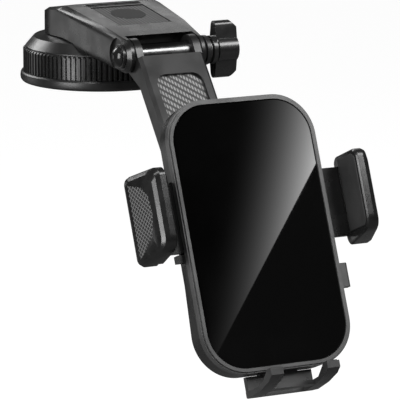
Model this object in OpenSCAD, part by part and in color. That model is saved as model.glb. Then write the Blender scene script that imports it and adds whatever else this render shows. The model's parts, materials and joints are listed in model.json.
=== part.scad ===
// Dashboard phone mount: suction base, swivelling arm, telescopic lower arm, ball joint
// and a flat cradle with two squeezing jaws and a sliding foot.
// Origin: centre of the suction cup's lower face. +X is the hinge axis, -Y faces the driver, +Z is up.

/* [Suction base] */
// Outer radius of the suction cup's flange
cup_r = 38; // [36:0.5:41]
// Thickness of the cup's flange
cup_flange_h = 4.7; // [3.5:0.1:5.5]
// Outer radius of the knurled ring, over the ribs
ring_r = 36.6; // [35.5:0.1:38]
// Height of the knurled ring
ring_h = 10.8; // [9:0.1:12]
// Number of ribs round the ring
rib_count = 96; // [60:4:120]
// Depth of the grooves between the ribs
rib_depth = 0.8; // [0.4:0.1:1.1]
// Height of the cone above the ring
dome_h = 6.6; // [6.2:0.1:8]
// Radius of the base screws' circle
base_screw_circle = 27; // [25.5:0.5:28]
// Travel of the pull stud when the lever is lifted
stud_travel = 1.6; // [1:0.1:1.8]

/* [Upper arm] */
// Outer radius of the swivelling turret
turret_r = 26.6; // [25.5:0.1:27.5]
// Half width of the arm at the hinge
arm_end_half = 19.7; // [19:0.1:21]
// Width of the chamfer along the top edges
arm_chamfer = 1.6; // [0.8:0.1:2.2]
// Height of the ridge over the table
ridge_z = 36.5; // [36:0.1:38]
// Distance of the ridge in front of the cup's centre
ridge_y = 10; // [9:0.1:11]
// Wall of the arm's shell
arm_wall = 2.4; // [1.8:0.1:2.8]

/* [Hinge] */
// Distance of the hinge axis in front of the cup's centre
hinge_y = 62.87; // [60:0.1:68]
// Height of the hinge axis
hinge_z = 20.73; // [20:0.1:22]
// Radius of the hinge ears
ear_r = 7.6; // [7:0.1:8.2]
// Radius of the hinge bolt
bolt_r = 2.5; // [2:0.1:3]
// Outer radius of the sleeve between the lower arm's ears
sleeve_r = 4.9; // [4.4:0.1:5]
// Half span of the wing knob
wing_half = 12.95; // [11:0.1:15]
// Width of the knob along the bolt
knob_w = 10.5; // [9:0.1:13]

/* [Lower arm] */
// Angle of the lower arm from the vertical
arm_tilt = 40; // [35:1:45]
// Half width of the lower arm
arm_half = 15.85; // [15.2:0.05:16.1]
// Depth of the lower arm, front to back
arm_d = 8.3; // [7.9:0.1:9.5]
// Length of the sleeve from the hinge axis
sleeve_len = 76; // [68:1:78]
// Half width of the window in the sleeve
window_half = 11.3; // [9.5:0.1:11.8]
// How far the slide pulls out
slide_travel = 38; // [20:1:44]

/* [Ball joint] */
// Radius of the ball
ball_r = 8.5; // [8.2:0.1:8.6]
// Distance of the ball's centre behind the cradle's face
ball_m = 20; // [20:0.1:20.6]
// Radius of the ball's neck
neck_r = 3.2; // [2.8:0.1:3.5]
// Outer radius of the collar nut
nut_r = 14.6; // [14.3:0.1:15.2]

/* [Cradle] */
// Angle of the cradle from the vertical
cradle_tilt = 22.9; // [15:0.1:28]
// Distance of the cradle's face in front of the cup's centre
cradle_y = 157.7; // [155:0.1:162]
// Depth of the cradle's centre below the cup's lower face
cradle_z = 42.2; // [38:0.1:46]
// Width of the cradle
cradle_w = 70; // [68:0.5:74]
// Height of the cradle
cradle_h = 118; // [114:0.5:124]
// Thickness of the cradle
cradle_t = 11; // [11:0.1:12]
// Corner radius of the cradle
cradle_corner = 18.5; // [14:0.5:22]
// Width of the rim round the front panel
rim_w = 2.1; // [1.6:0.1:3]

/* [Jaws] */
// Distance between the pads when the jaws are open
jaw_open = 89; // [86:0.5:92]
// How far each jaw closes
jaw_travel = 9; // [6:0.5:9]
// Lower end of the jaws above the cradle's centre
jaw_low = -8.8; // [-12:0.2:-8]
// Upper end of the jaws above the cradle's centre
jaw_high = 30; // [28:0.5:34]
// How far the jaws stand in front of the cradle's face
jaw_front = 14; // [11:0.5:17]
// Number of teeth on the drive gear
gear_teeth = 16; // [14:1:18]

/* [Foot] */
// Half width of the foot
foot_half = 16.2; // [15:0.1:18]
// How far the foot stands in front of the cradle's face
foot_front = 19; // [15:0.5:24]
// How far the foot pulls out
foot_travel = 18; // [8:1:20]

/* [Hidden] */
// Radial clearance of a shaft in its bore
fit_gap = 0.05;
// Clearance between pieces that slide or turn past each other
free_gap = 0.3;
// Clearance between pieces that are fixed together
seat_gap = 0.02;
fine = 96;
coarse = 40;

// Suction base
ring_z = cup_flange_h;
ring_top = ring_z + ring_h;
ring_web_t = 2;
ring_wall = 3;
dome_z = ring_top;
dome_top = dome_z + dome_h;
dome_edge_r = ring_r - 1.1;
dome_shoulder_r = dome_edge_r - 3.8;
dome_shoulder_z = dome_z + 5;
spigot_r = 11;
floor_z = dome_top + free_gap;
floor_t = 2.4;
spigot_top = floor_z + floor_t + free_gap;
keeper_t = 1;
keeper_r = 14;
keeper_top = spigot_top + keeper_t;
base_screw_r = 1.5;
base_screw_head_r = 2.8;
base_screw_head_h = 1.8;
base_screw_len = 4;
keeper_screw_r = 1;
keeper_screw_circle = 8.4;

// Pull stud and lock lever
stud_r = 3;
stud_head_r = 5;
stud_head_h = 1.6;
core_r = 12;
core_z = 3;
core_h = 5.4;
core_floor = 0.6;
stud_head_z = core_z + core_floor + free_gap + stud_travel;
cam_r = 2.5;
cam_throw = 2.1;
cam_lead = 10;
pin_z = keeper_top + free_gap + cam_r + cam_throw;
pin_r = 1.5;
eye_half = 3;
eye_r = 3.3;
cheek_t = 4;
lever_half = 16.4;
lever_front = 2;
lever_open = 4.9;
lever_t = 2.2;
lever_r = turret_r - arm_wall - 2 * free_gap;
lever_tab_half = 8;
lever_tab_out = 2;

// Upper arm
turret_z = floor_z;
turret_wall_top = 27;
turret_mid_z = 35;
turret_fall = atan((ridge_z - turret_mid_z) / ridge_y);
ridge_half = 17;
shell_in_z = ridge_z - 4.6;
front_mid_y = 45;
front_mid_z = 32;
pocket_half = 13.3;
pocket_back = 15.2;
pocket_front = 46;
pocket_d = 1.1;
panel_t = 0.7;
badge_r = 8;
slot_half = 13.5;
slot_back = 10.4;
slot_front = 14.2;
slot_bar_r = 1.2;
slot_bar_half = 10;
slot_bar_y = 12.2;
slot_bar_z = ridge_z - 1.6;
top_slope = atan((ridge_z - front_mid_z) / (front_mid_y - ridge_y));
hollow_back = 18;
hollow_front = hinge_y - ear_r - 3.8;
hollow_front_z = 27.4;
boss_r = 3;
ear_gap_half = arm_half + 0.75;
under_y = 27;
under_z = 18.4;
cover_t = 1.6;
cover_fall = 0.14;
arm_screw_r = 1.1;

// Hinge
washer_t = 1.5;
washer_r = 6.4;
head_t = 2.8;
head_r = 4.9;
bolt_left = arm_end_half + washer_t + seat_gap * 2;
stack_x = arm_end_half + seat_gap;
big_washer_t = 2.2;
spring_washer_t = 1.2;
knob_x = stack_x + big_washer_t + spring_washer_t + seat_gap * 2 + free_gap;
knob_collar_t = 2;
knob_end = knob_x + knob_collar_t + knob_w;
hub_r = 6;
insert_r = 4;
insert_x = knob_end - 8;
insert_len = 7.2;
friction_t = ear_gap_half - arm_half - 0.1;

// Lower arm
recess_a = 15.5;
recess_end = sleeve_len - 8;
recess_corner = 5;
front_wall = 1.4;
back_wall = 1.4;
slide_half = arm_half - 3.4;
slide_front = arm_d - front_wall - 0.15;
slide_back = back_wall + 0.5;
slide_hold = 23.7;
slide_start = sleeve_len - slide_travel - slide_hold;
plate_start = 5.5;
ball_y_world = cradle_y - ball_m * cos(cradle_tilt);
ball_z_world = -cradle_z - ball_m * sin(cradle_tilt);
// Place of the ball's centre along the lower arm and in front of its middle plane
ball_a = (ball_y_world - hinge_y) * sin(arm_tilt) + (hinge_z - ball_z_world) * cos(arm_tilt);
ball_b = (ball_y_world - hinge_y) * cos(arm_tilt) - (hinge_z - ball_z_world) * sin(arm_tilt);
head_front = ball_b - 12.1;
head_back = head_front - 5;
step_a = sleeve_len + 1;
step_end = step_a + 6;
stud_base_r = 7.5;
stud_base_t = 1.5;
ball_screw_r = 1.5;

// Ball joint
liner_t = 0.8;
seat_in = ball_r + fit_gap;
seat_out = seat_in + liner_t;
grip_in = seat_out + fit_gap;
grip_out = grip_in + liner_t;
socket_r = grip_out + fit_gap;
collet_r = socket_r + 1.95;
collet_back = 4;
lip_back = 6.2;
lip_r = 8.2;
seat_open = 5;
grip_open = 5.8;

// Cradle
panel_t1 = 1;
frame_depth = 3.3;
housing_front = frame_depth + 0.1;
shell_t = 2;
floor_m = cradle_t - shell_t;
glass_half_w = cradle_w / 2 - rim_w - 0.15;
glass_half_h = cradle_h / 2 - rim_w - 0.15;
glass_corner = cradle_corner - rim_w;
half_w = cradle_w / 2;
half_h = cradle_h / 2;
edge_bevel = 2.4;
// The tub grows deeper towards its lower end
low_t = cradle_t + 2.2;
low_start = 19;

// Jaws, racks and gear
rack_t = 2.8;
rack_front = housing_front + 0.35;
rack_back = rack_front + rack_t;
arm_low = -4.8;
arm_high = 25.4;
gear_s = (arm_low + arm_high) / 2;
gear_module = 0.8;
gear_pitch_r = gear_module * gear_teeth / 2;
gear_add = 0.72;
gear_ded = 0.95;
gear_hub_r = 3;
gear_pin_r = 1.5;
rack_in_end = -4.5;
rack_full_x = 25;
slot_s_gap = 0.4;
pad_x = jaw_open / 2;
pad_t = 1.6;
jaw_rim = 6.2;
jaw_back = 8;
jaw_flare = 7.5;
grip_d = 0.9;
jaw_slope = 12;
lug_out = 3.2;
lug_low = -8.8;

// Release button and latch
button_low = -26.8;
button_high = -16.3;
button_out = 6;
button_travel = 2;
button_front = rack_front + 0.3;
button_back = button_front + 4;
tail_h = 3;
tail_end = 9.5;
tail_low = (button_low + button_high - tail_h) / 2;
pawl_travel = 1.2;
ramp_k = pawl_travel / button_travel;
ramp_len = 1.5;
pawl_half = 4;

// Foot
foot_back = floor_m - 0.35;
foot_plate_t = 2.6;
foot_in = half_h - foot_travel - 7;
foot_tongue = 9;
foot_plate_half = foot_half - 0.7;
foot_prong_back = foot_back - 1.2;
foot_s = half_h + 8;
foot_tip_s = half_h + 1;
prong_in = foot_half - 5.9;
foot_pad_half = 2.3;
foot_pad_t = 0.8;

// Places a child in the hinge's frame
module at_hinge() { translate([0, -hinge_y, hinge_z]) children(); }

// Places a child in the lower arm's frame: it runs down from the hinge, its front faces -Y
module at_arm() { at_hinge() rotate([-arm_tilt, 0, 0]) children(); }

// Places a child in the cradle's frame: centre of the front panel, panel facing -Y
module at_cradle() { translate([0, -cradle_y, -cradle_z]) rotate([-cradle_tilt, 0, 0]) children(); }

// A round bar along X between two places
module bar_x(r, x0, x1, sides = fine) {
    translate([x0, 0, 0]) rotate([0, 90, 0]) cylinder(r = r, h = x1 - x0, $fn = sides);
}

// A round bar along Y between two depths behind the front, the smaller depth first
module bar_m(r, m0, m1, sides = fine) {
    translate([0, m0, 0]) rotate([-90, 0, 0]) cylinder(r = r, h = m1 - m0, $fn = sides);
}

// A block given by its limits
module block(x0, x1, y0, y1, z0, z1) {
    translate([x0, y0, z0]) cube([x1 - x0, y1 - y0, z1 - z0]);
}

// A plate along X cut to an outline in Y and Z
module side_plate(points, x0, x1) {
    translate([x0, 0, 0]) rotate([90, 0, 90]) linear_extrude(x1 - x0) polygon(points);
}

// A rounded rectangle in the cradle's plane between two depths
module round_plate(hw, hh, corner, m0, m1) {
    translate([0, m1, 0]) rotate([90, 0, 0]) linear_extrude(m1 - m0) round_outline(hw, hh, corner);
}

module round_outline(hw, hh, corner) {
    union() {
        square([2 * (hw - corner), 2 * hh], center = true);
        square([2 * hw, 2 * (hh - corner)], center = true);
        for (x = [-1, 1], y = [-1, 1])
            translate([x * (hw - corner), y * (hh - corner)]) circle(r = corner, $fn = fine);
    }
}

// ---- Suction base ----

// Soft cup: flange with a rounded edge, a groove inside the sealing lip and a boss round the core
module suction_cup() {
    color([0.06, 0.06, 0.06]) difference() {
        rotate_extrude($fn = fine) polygon([
            [0, 0], [cup_r - 5, 0], [cup_r - 4.6, 0.5], [cup_r - 2.6, 0.5], [cup_r - 2.2, 0],
            [cup_r - 0.9, 0], [cup_r - 0.2, 1], [cup_r, 2.2], [cup_r - 0.2, cup_flange_h - 0.8],
            [cup_r - 0.9, cup_flange_h], [core_r + 4, cup_flange_h], [core_r + 3, core_z + core_h],
            [0, core_z + core_h]]);
        translate([0, 0, core_z])
            cylinder(r = core_r + seat_gap, h = core_h + 1, $fn = fine);
    }
}

// Hard core moulded into the cup: holds the pull stud's head and lets it turn
module cup_core() {
    color([0.12, 0.12, 0.12]) difference() {
        translate([0, 0, core_z + seat_gap])
            cylinder(r = core_r, h = core_h - seat_gap, $fn = fine);
        translate([0, 0, core_z + core_floor])
            cylinder(r = stud_head_r + free_gap, h = stud_head_h + stud_travel + 2 * free_gap, $fn = fine);
        cylinder(r = stud_r + fit_gap, h = 3 * core_h, $fn = fine);
        block(-core_r - 1, 0, -stud_head_r - free_gap, stud_head_r + free_gap, core_z + core_floor,
            core_z + core_floor + stud_head_h + stud_travel + 2 * free_gap);
        block(-core_r - 1, 0, -stud_r - fit_gap, stud_r + fit_gap, core_z + core_floor, 2 * core_h);
        translate([0, 0, core_z - 1]) cylinder(r = stud_r + 1, h = 1, $fn = fine);
    }
}

// Ribbed ring round the cup, with an inner web that the dome stands on
module knurled_ring() {
    step = 360 / rib_count;
    difference() {
        color([0.1, 0.1, 0.1]) difference() {
            translate([0, 0, ring_z]) linear_extrude(ring_h) polygon([
                for (i = [0:rib_count - 1], p = [[-0.3, 0], [0.12, 0], [0.2, rib_depth], [0.62, rib_depth]])
                    (ring_r - p[1]) * [cos((i + p[0]) * step), sin((i + p[0]) * step)]]);
            translate([0, 0, ring_z - 1])
                cylinder(r = ring_r - ring_wall, h = ring_h - ring_web_t + 1, $fn = fine);
            cylinder(r = stud_head_r * 4, h = 2 * ring_top, $fn = fine);
            base_screw_places() cylinder(r = base_screw_r + fit_gap, h = 2 * ring_top, $fn = coarse);
        }
        rotate_extrude($fn = fine) polygon([[ring_r - 0.9, ring_top + 0.1], [ring_r + 1, ring_top + 0.1],
            [ring_r + 1, ring_top - 1.6]]);
    }
}

module base_screw_places() {
    for (i = [0:3]) rotate([0, 0, 45 + 90 * i]) translate([base_screw_circle, 0, 0]) children();
}

// Cone and flat top of the base with the spigot that the turret turns on
module base_dome() {
    color([0.11, 0.11, 0.11]) difference() {
        rotate_extrude($fn = fine) polygon([
            [stud_r + 3, dome_z + 3], [14, dome_z + 3], [16, dome_z], [dome_edge_r, dome_z],
            [dome_edge_r, dome_z + 0.6], [dome_shoulder_r, dome_shoulder_z],
            [turret_r + 0.6, dome_top - 0.3], [turret_r - 1, dome_top], [spigot_r, dome_top],
            [spigot_r, spigot_top], [stud_r + 3, spigot_top]]);
        translate([0, 0, dome_z - 1]) base_screw_places()
            cylinder(r = base_screw_r + fit_gap, h = base_screw_len + 1.2, $fn = coarse);
        translate([0, 0, spigot_top - 3]) keeper_screw_places()
            cylinder(r = keeper_screw_r + fit_gap, h = 4, $fn = coarse);
    }
}

module base_screws() {
    color("silver") translate([0, 0, ring_top - ring_web_t]) base_screw_places() {
        cylinder(r = base_screw_r, h = ring_web_t + base_screw_len, $fn = coarse);
        translate([0, 0, -base_screw_head_h]) difference() {
            cylinder(r = base_screw_head_r, h = base_screw_head_h, $fn = coarse);
            for (a = [0, 90]) rotate([0, 0, a]) block(-2, 2, -0.3, 0.3, -1, 0.9);
        }
    }
}

module keeper_screw_places() {
    for (i = [0:2]) rotate([0, 0, 30 + 120 * i]) translate([keeper_screw_circle, 0, 0]) children();
}

// Washer on the spigot that keeps the turret down and carries the lever's cam
module keeper_washer() {
    color("silver") difference() {
        translate([0, 0, spigot_top]) cylinder(r = keeper_r, h = keeper_t, $fn = fine);
        cylinder(r = stud_r + 2, h = 2 * spigot_top, $fn = fine);
        keeper_screw_places() cylinder(r = keeper_screw_r + fit_gap, h = 2 * spigot_top, $fn = coarse);
        translate([0, 0, spigot_top + keeper_t - 0.7]) keeper_screw_places()
            cylinder(r = 2 * keeper_screw_r, h = 1, $fn = coarse);
    }
}

module keeper_screws() {
    color("silver") translate([0, 0, spigot_top]) keeper_screw_places() {
        translate([0, 0, -2.8]) cylinder(r = keeper_screw_r, h = 2.8 + keeper_t - 0.2, $fn = coarse);
        translate([0, 0, keeper_t - 0.65]) cylinder(r = 1.9 * keeper_screw_r, h = 0.6, $fn = coarse);
    }
}

// Stud that pulls the cup's core up: round head below, eye for the lever's pin above
module pull_stud() {
    color("silver") difference() {
        union() {
            translate([0, 0, stud_head_z]) cylinder(r = stud_head_r, h = stud_head_h, $fn = fine);
            translate([0, 0, stud_head_z]) cylinder(r = stud_r, h = pin_z - 1 - stud_head_z, $fn = fine);
            translate([0, 0, pin_z]) bar_x(eye_r, -eye_half, eye_half, coarse);
        }
        translate([0, 0, pin_z]) bar_x(pin_r + fit_gap, -eye_half - 1, eye_half + 1, fine);
    }
}

// Height of the turret's top, which falls towards the rear
function turret_at(y) = turret_mid_z - y * tan(turret_fall);

// A piece of the lever's plate, just under the turret's top
module lever_slab(y0, y1, half) {
    side_plate([[y0, turret_at(y0) - 0.1], [y1, turret_at(y1) - 0.1], [y1, turret_at(y1) - 0.1 - lever_t],
        [y0, turret_at(y0) - 0.1 - lever_t]], -half, half);
}

// Lever behind the ridge: top plate, two cam cheeks and a finger tab at the rear
module lock_lever() {
    cheek_in = eye_half + free_gap;
    color([0.12, 0.12, 0.12]) difference() {
        union() {
            intersection() {
                lever_slab(-lever_front, lever_r, lever_half);
                cylinder(r = lever_r, h = 2 * ridge_z, $fn = fine);
            }
            lever_slab(lever_r - 3, turret_r + lever_tab_out, lever_tab_half);
            for (x = [-cheek_in - cheek_t, cheek_in]) {
                translate([0, cam_throw * sin(cam_lead), pin_z - cam_throw * cos(cam_lead)])
                    bar_x(cam_r, x, x + cheek_t, fine);
                side_plate([[-2.4, pin_z - 1.5], [2.8, pin_z - 1.5], [4.5, turret_at(4.5) - 1],
                    [-lever_front, turret_at(-lever_front) - 1]], x, x + cheek_t);
            }
        }
        translate([0, 0, pin_z]) {
            bar_x(pin_r + seat_gap, -cheek_in - cheek_t - 1, cheek_in + cheek_t + 1);
            bar_x(eye_r + free_gap, -cheek_in, cheek_in);
        }
        block(-cheek_in, cheek_in, -0.8 * eye_r, 0.8 * eye_r, pin_z, ridge_z);
    }
}

module lever_pin() {
    cheek_out = eye_half + free_gap + cheek_t;
    color("silver") translate([0, 0, pin_z]) bar_x(pin_r, -cheek_out, cheek_out);
}

// ---- Upper arm ----

function arm_half_at(y) = turret_r + (arm_end_half - turret_r) * y / hinge_y;

// Height of the arm's top at a distance in front of the cup's centre
function top_at(y) = ridge_z - (y - ridge_y) * tan(top_slope);

module arm_outer() {
    c = arm_chamfer;
    mid_half = arm_half_at(front_mid_y);
    hull() {
        translate([0, 0, turret_z]) cylinder(r = turret_r, h = turret_wall_top - turret_z, $fn = 72);
        for (q = [[turret_r, -1.3], [turret_r - 1.4 * c, 0]])
            translate([0, 0, turret_mid_z + q[1]]) rotate([-turret_fall, 0, 0])
                intersection() {
                    translate([0, 0, -0.5]) cylinder(r = q[0], h = 0.5, $fn = 72);
                    block(-turret_r, turret_r, -ridge_y, turret_r, -1, 1);
                }
        block(-ridge_half, ridge_half, -ridge_y, -ridge_y + 3, ridge_z - 1, ridge_z);
        block(-mid_half + c, mid_half - c, -front_mid_y, 1 - front_mid_y, front_mid_z - 1, front_mid_z);
        block(-mid_half, mid_half, -front_mid_y, 1 - front_mid_y, under_z, front_mid_z - c);
        block(-arm_half_at(under_y), arm_half_at(under_y), -under_y, 1 - under_y, under_z, under_z + 1);
        at_hinge() bar_x(ear_r - c, -arm_end_half, arm_end_half, 64);
        at_hinge() bar_x(ear_r, -arm_end_half + c, arm_end_half - c, 64);
    }
}

module arm_hollow() {
    w = arm_wall;
    hull() {
        block(-arm_half_at(hollow_back) + w, arm_half_at(hollow_back) - w, -hollow_back, 1 - hollow_back,
            under_z - 9, shell_in_z);
        block(-arm_half_at(hollow_front) + w, arm_half_at(hollow_front) - w, -hollow_front,
            1 - hollow_front, under_z - 9, hollow_front_z);
    }
    translate([0, 0, turret_z - 1]) {
        cylinder(r = turret_r - w, h = turret_at(lever_half + 1) - w - turret_z + 1, $fn = 72);
        intersection() {
            cylinder(r = turret_r - w, h = shell_in_z - turret_z + 1, $fn = 72);
            block(-turret_r, turret_r, -turret_r, -lever_open, 0, ridge_z);
        }
    }
}

// Pocket for the top panel, in the sloping top
module top_pocket(half, y0, y1, depth) {
    translate([0, -y0, top_at(y0)]) rotate([top_slope, 0, 0])
        block(-half, half, -(y1 - y0) / cos(top_slope), 0, -depth, 4);
}

// Height of the undercover's lower face
function cover_z(y) = under_z + 0.6 - (y - under_y) * cover_fall;

module cover_screw_places() {
    for (y = [under_y + 7, hollow_front - 5.5], s = [-1, 1])
        translate([s * (arm_half_at(y) - arm_wall - boss_r - 0.6), -y, cover_z(y)]) children();
}

// Room that the arm leaves for the base as it swivels
module base_room() {
    rotate_extrude($fn = fine) polygon([[0, 0], [ring_r + 0.6, 0], [ring_r + 0.6, ring_top + 0.5],
        [dome_shoulder_r + 0.7, dome_shoulder_z + 0.5], [turret_r + 1.4, floor_z], [0, floor_z]]);
}

// Shell of the upper arm with the turret and the two outer hinge ears
module upper_arm() {
    color([0.13, 0.13, 0.13]) difference() {
        union() {
            difference() {
                arm_outer();
                arm_hollow();
                base_room();
                intersection() {
                    block(-lever_half - free_gap, lever_half + free_gap, -lever_open, turret_r,
                        floor_z, ridge_z + 1);
                    cylinder(r = turret_r - arm_wall, h = 2 * ridge_z, $fn = 72);
                }
                block(-lever_tab_half - free_gap, lever_tab_half + free_gap, lever_r - 2, turret_r + 1,
                    turret_at(turret_r) - lever_t - 3, ridge_z);
                block(-slot_half, slot_half, -slot_front, -slot_back, ridge_z - 7, ridge_z + 1);
                top_pocket(pocket_half, pocket_back, pocket_front, pocket_d);
            }
            translate([0, 0, floor_z])
                cylinder(r = turret_r - arm_wall + 0.6, h = floor_t, $fn = fine);
            intersection() {
                cover_screw_places() translate([0, 0, cover_t + 0.5])
                    cylinder(r = boss_r, h = ridge_z, $fn = coarse);
                translate([0, 0, -pocket_d - 0.6]) arm_outer();
            }
            translate([0, -slot_bar_y, slot_bar_z]) bar_x(slot_bar_r, -slot_half - 1, slot_half + 1);
        }
        cylinder(r = spigot_r + fit_gap, h = spigot_top + free_gap, $fn = fine);
        at_hinge() {
            bar_x(ear_r + 1.3, -ear_gap_half, ear_gap_half);
            bar_x(bolt_r + fit_gap, -arm_end_half - 1, arm_end_half + 1);
            for (x = [-arm_end_half - 4, arm_end_half]) bar_x(ear_r + 1.6, x, x + 4);
        }
        cover_screw_places() translate([0, 0, -3]) cylinder(r = arm_screw_r + fit_gap, h = 11, $fn = coarse);
    }
}

// Textured panel in the pocket on top, with a plain round field
module top_panel() {
    g = 0.15;
    color([0.2, 0.2, 0.2]) union() {
        intersection() {
            top_pocket(pocket_half - g, pocket_back + g, pocket_front - g, pocket_d - seat_gap);
            translate([0, -pocket_back, top_at(pocket_back)]) rotate([top_slope, 0, 0])
                block(-slot_half * 2, slot_half * 2, -front_mid_y, 1, -pocket_d, panel_t - pocket_d);
        }
        translate([0, -28, top_at(28) - pocket_d + panel_t - 0.1]) rotate([top_slope, 0, 0])
            cylinder(r = badge_r, h = 0.35, $fn = fine);
    }
}

// Plate that closes the arm from below
module arm_undercover() {
    y0 = under_y + 2.5;
    y1 = hollow_front - 1.4;
    z0 = cover_z(y0);
    z1 = cover_z(y1);
    g = arm_wall + 0.15;
    color([0.09, 0.09, 0.09]) difference() {
        intersection() {
            side_plate([[-y0, z0], [-y0, z0 + cover_t], [-y1, z1 + cover_t], [-y1, z1]],
                -turret_r, turret_r);
            linear_extrude(ridge_z) polygon([
                [arm_half_at(y0) - g, -y0], [-arm_half_at(y0) + g, -y0],
                [-arm_half_at(y1) + g, -y1], [arm_half_at(y1) - g, -y1]]);
        }
        cover_screw_places() translate([0, 0, -4]) cylinder(r = arm_screw_r + fit_gap, h = 11, $fn = coarse);
        base_room();
    }
}

module undercover_screws() {
    color("silver") cover_screw_places() {
        translate([0, 0, -0.4]) cylinder(r = arm_screw_r, h = 8, $fn = coarse);
        translate([0, 0, -1.6]) difference() {
            cylinder(r = 2 * arm_screw_r, h = 1.2, $fn = coarse);
            for (a = [0, 90]) rotate([0, 0, a]) block(-1.4, 1.4, -0.25, 0.25, -1, 0.6);
        }
    }
}

// ---- Hinge ----

// Bolt along the hinge axis with a domed head on the left
module hinge_bolt() {
    color([0.1, 0.1, 0.1]) at_hinge() {
        bar_x(bolt_r, -bolt_left - 0.5, insert_x + insert_len - 0.5);
        translate([-bolt_left, 0, 0]) rotate([0, -90, 0]) intersection() {
            cylinder(r = head_r, h = head_t, $fn = fine);
            translate([0, 0, head_t - 5.4]) sphere(r = 5.4, $fn = fine);
        }
    }
}

module ring_x(r_out, r_in, x0, x1) {
    difference() {
        bar_x(r_out, x0, x1);
        bar_x(r_in, x0 - 1, x1 + 1);
    }
}

module bolt_washer() {
    color([0.12, 0.12, 0.12]) at_hinge()
        ring_x(head_r + 0.5, bolt_r + fit_gap, -arm_end_half - seat_gap - washer_t, -arm_end_half - seat_gap);
}

module knob_washer() {
    color([0.12, 0.12, 0.12]) at_hinge()
        ring_x(washer_r + 0.3, bolt_r + fit_gap, stack_x, stack_x + big_washer_t);
}

// Split spring washer
module spring_washer() {
    color("silver") at_hinge() difference() {
        ring_x(washer_r - 1.5, bolt_r + fit_gap, stack_x + big_washer_t + seat_gap,
            stack_x + big_washer_t + seat_gap + spring_washer_t);
        rotate([12, 0, 0]) block(stack_x, knob_x, -0.3, 0.3, 0, washer_r);
    }
}

// Outline of the two wings seen along X: a waisted bar
module wing_outline() {
    hull() for (z = [-1, 1]) translate([0, z * 2]) circle(r = hub_r - 1.6, $fn = 32);
    for (z = [-1, 1]) hull() {
        translate([0, z * 3]) circle(r = 3.6, $fn = 32);
        translate([0, z * (wing_half - 2.4)]) circle(r = 2.4, $fn = 32);
    }
}

// Wing knob on the bolt's end
module wing_knob() {
    x0 = knob_x;
    x1 = knob_end;
    cut = 3;
    color([0.11, 0.11, 0.11]) at_hinge() difference() {
        union() {
            bar_x(hub_r + 0.3, x0, x0 + knob_collar_t);
            bar_x(hub_r - 1.2, x0, x0 + knob_collar_t + 1);
            bar_x(hub_r, x0 + knob_collar_t + 0.8, x1);
            intersection() {
                translate([x0 + knob_collar_t, 0, 0]) rotate([90, 0, 90])
                    linear_extrude(knob_w) wing_outline();
                rotate([90, 0, 0]) translate([0, 0, -hub_r]) linear_extrude(2 * hub_r) polygon([
                    [x0, -6], [x0 + knob_collar_t, -6], [x0 + knob_collar_t, -wing_half],
                    [x1 - cut, -wing_half], [x1, -wing_half + cut], [x1, wing_half - cut],
                    [x1 - cut, wing_half], [x0 + knob_collar_t, wing_half], [x0, 6]]);
            }
        }
        bar_x(bolt_r + 0.2, x0 - 1, insert_x);
        bar_x(insert_r + seat_gap, insert_x, x1 - 0.7);
    }
}

module knob_insert() {
    color("goldenrod") at_hinge()
        ring_x(insert_r, bolt_r + fit_gap, insert_x + seat_gap, insert_x + insert_len);
}

// ---- Lower arm ----
// In the arm's frame Y = -depth in front of the axis plane and Z = -distance from the hinge.

// A block in the lower arm's frame, given by depths in front of the axis and distances down the arm
module arm_block(x0, x1, b0, b1, a0, a1) { block(x0, x1, -b1, -b0, -a1, -a0); }

// Cross-section of the sleeve with its two front chamfers
module sleeve_section(c) {
    polygon([[-arm_half, 0], [-arm_half, -arm_d + c], [-arm_half + c, -arm_d], [arm_half - c, -arm_d],
        [arm_half, -arm_d + c], [arm_half, 0]]);
}

// Rounded window outline in X and Z
module window_outline(half, a0, a1, corner) {
    translate([0, -(a0 + a1) / 2]) round_outline(half, (a1 - a0) / 2, corner);
}

module back_screw_places() {
    for (a = [recess_a + 3, sleeve_len - 5], s = [-1, 1])
        translate([s * (arm_half - 1.9), 0, -a]) children();
}

module lower_arm() {
    c = 1.5;
    color([0.13, 0.13, 0.13]) at_arm() difference() {
        union() {
            translate([0, 0, -sleeve_len]) linear_extrude(sleeve_len - plate_start) sleeve_section(c);
            for (x = [-arm_half, arm_half - 3.3]) {
                bar_x(ear_r, x, x + 3.3);
                side_plate([[ear_r, 0], [ear_r * 0.8, -4.6], [0, -2.2 * ear_r], [-arm_d + c, -2.2 * ear_r],
                    [-arm_d + c, -plate_start], [-ear_r, 0]], x, x + 3.3);
            }
        }
        // Channel for the slide, its window and the seat of the back cover
        arm_block(-slide_half - 0.15, slide_half + 0.15, -1, slide_front + 0.15, slide_start - 1.5,
            sleeve_len + 1);
        translate([0, 1, 0]) rotate([90, 0, 0]) linear_extrude(arm_d + 2)
            window_outline(window_half, recess_a, recess_end, recess_corner);
        arm_block(-arm_half + 0.8, arm_half - 0.8, -0.01, back_wall, slide_start - 1.5, sleeve_len + 1);
        // Room for the sleeve between the ears
        bar_x(sleeve_r + 1.2, -arm_half + 3.3, arm_half - 3.3);
        bar_x(bolt_r + fit_gap, -arm_half - 1, arm_half + 1);
        back_screw_places() bar_m(0.7 + fit_gap, -5, 1, coarse);
    }
}

module friction_washers() {
    color("silver") at_hinge() for (s = [-1, 1])
        ring_x(washer_r - 0.4, bolt_r + fit_gap, s * (arm_half + ear_gap_half) / 2 - friction_t / 2,
            s * (arm_half + ear_gap_half) / 2 + friction_t / 2);
}

// Smooth sleeve on the bolt between the lower arm's ears
module hinge_sleeve() {
    half = arm_half - 3.3 - seat_gap;
    color([0.14, 0.14, 0.14]) at_hinge() ring_x(sleeve_r, bolt_r + fit_gap, -half, half);
}

module arm_back_cover() {
    g = 0.1;
    color([0.09, 0.09, 0.09]) at_arm() difference() {
        arm_block(-arm_half + 0.8 + g, arm_half - 0.8 - g, 0, back_wall - seat_gap, slide_start - 1.5 + g,
            sleeve_len);
        back_screw_places() bar_m(0.7 + fit_gap, -5, 1, coarse);
    }
}

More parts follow.
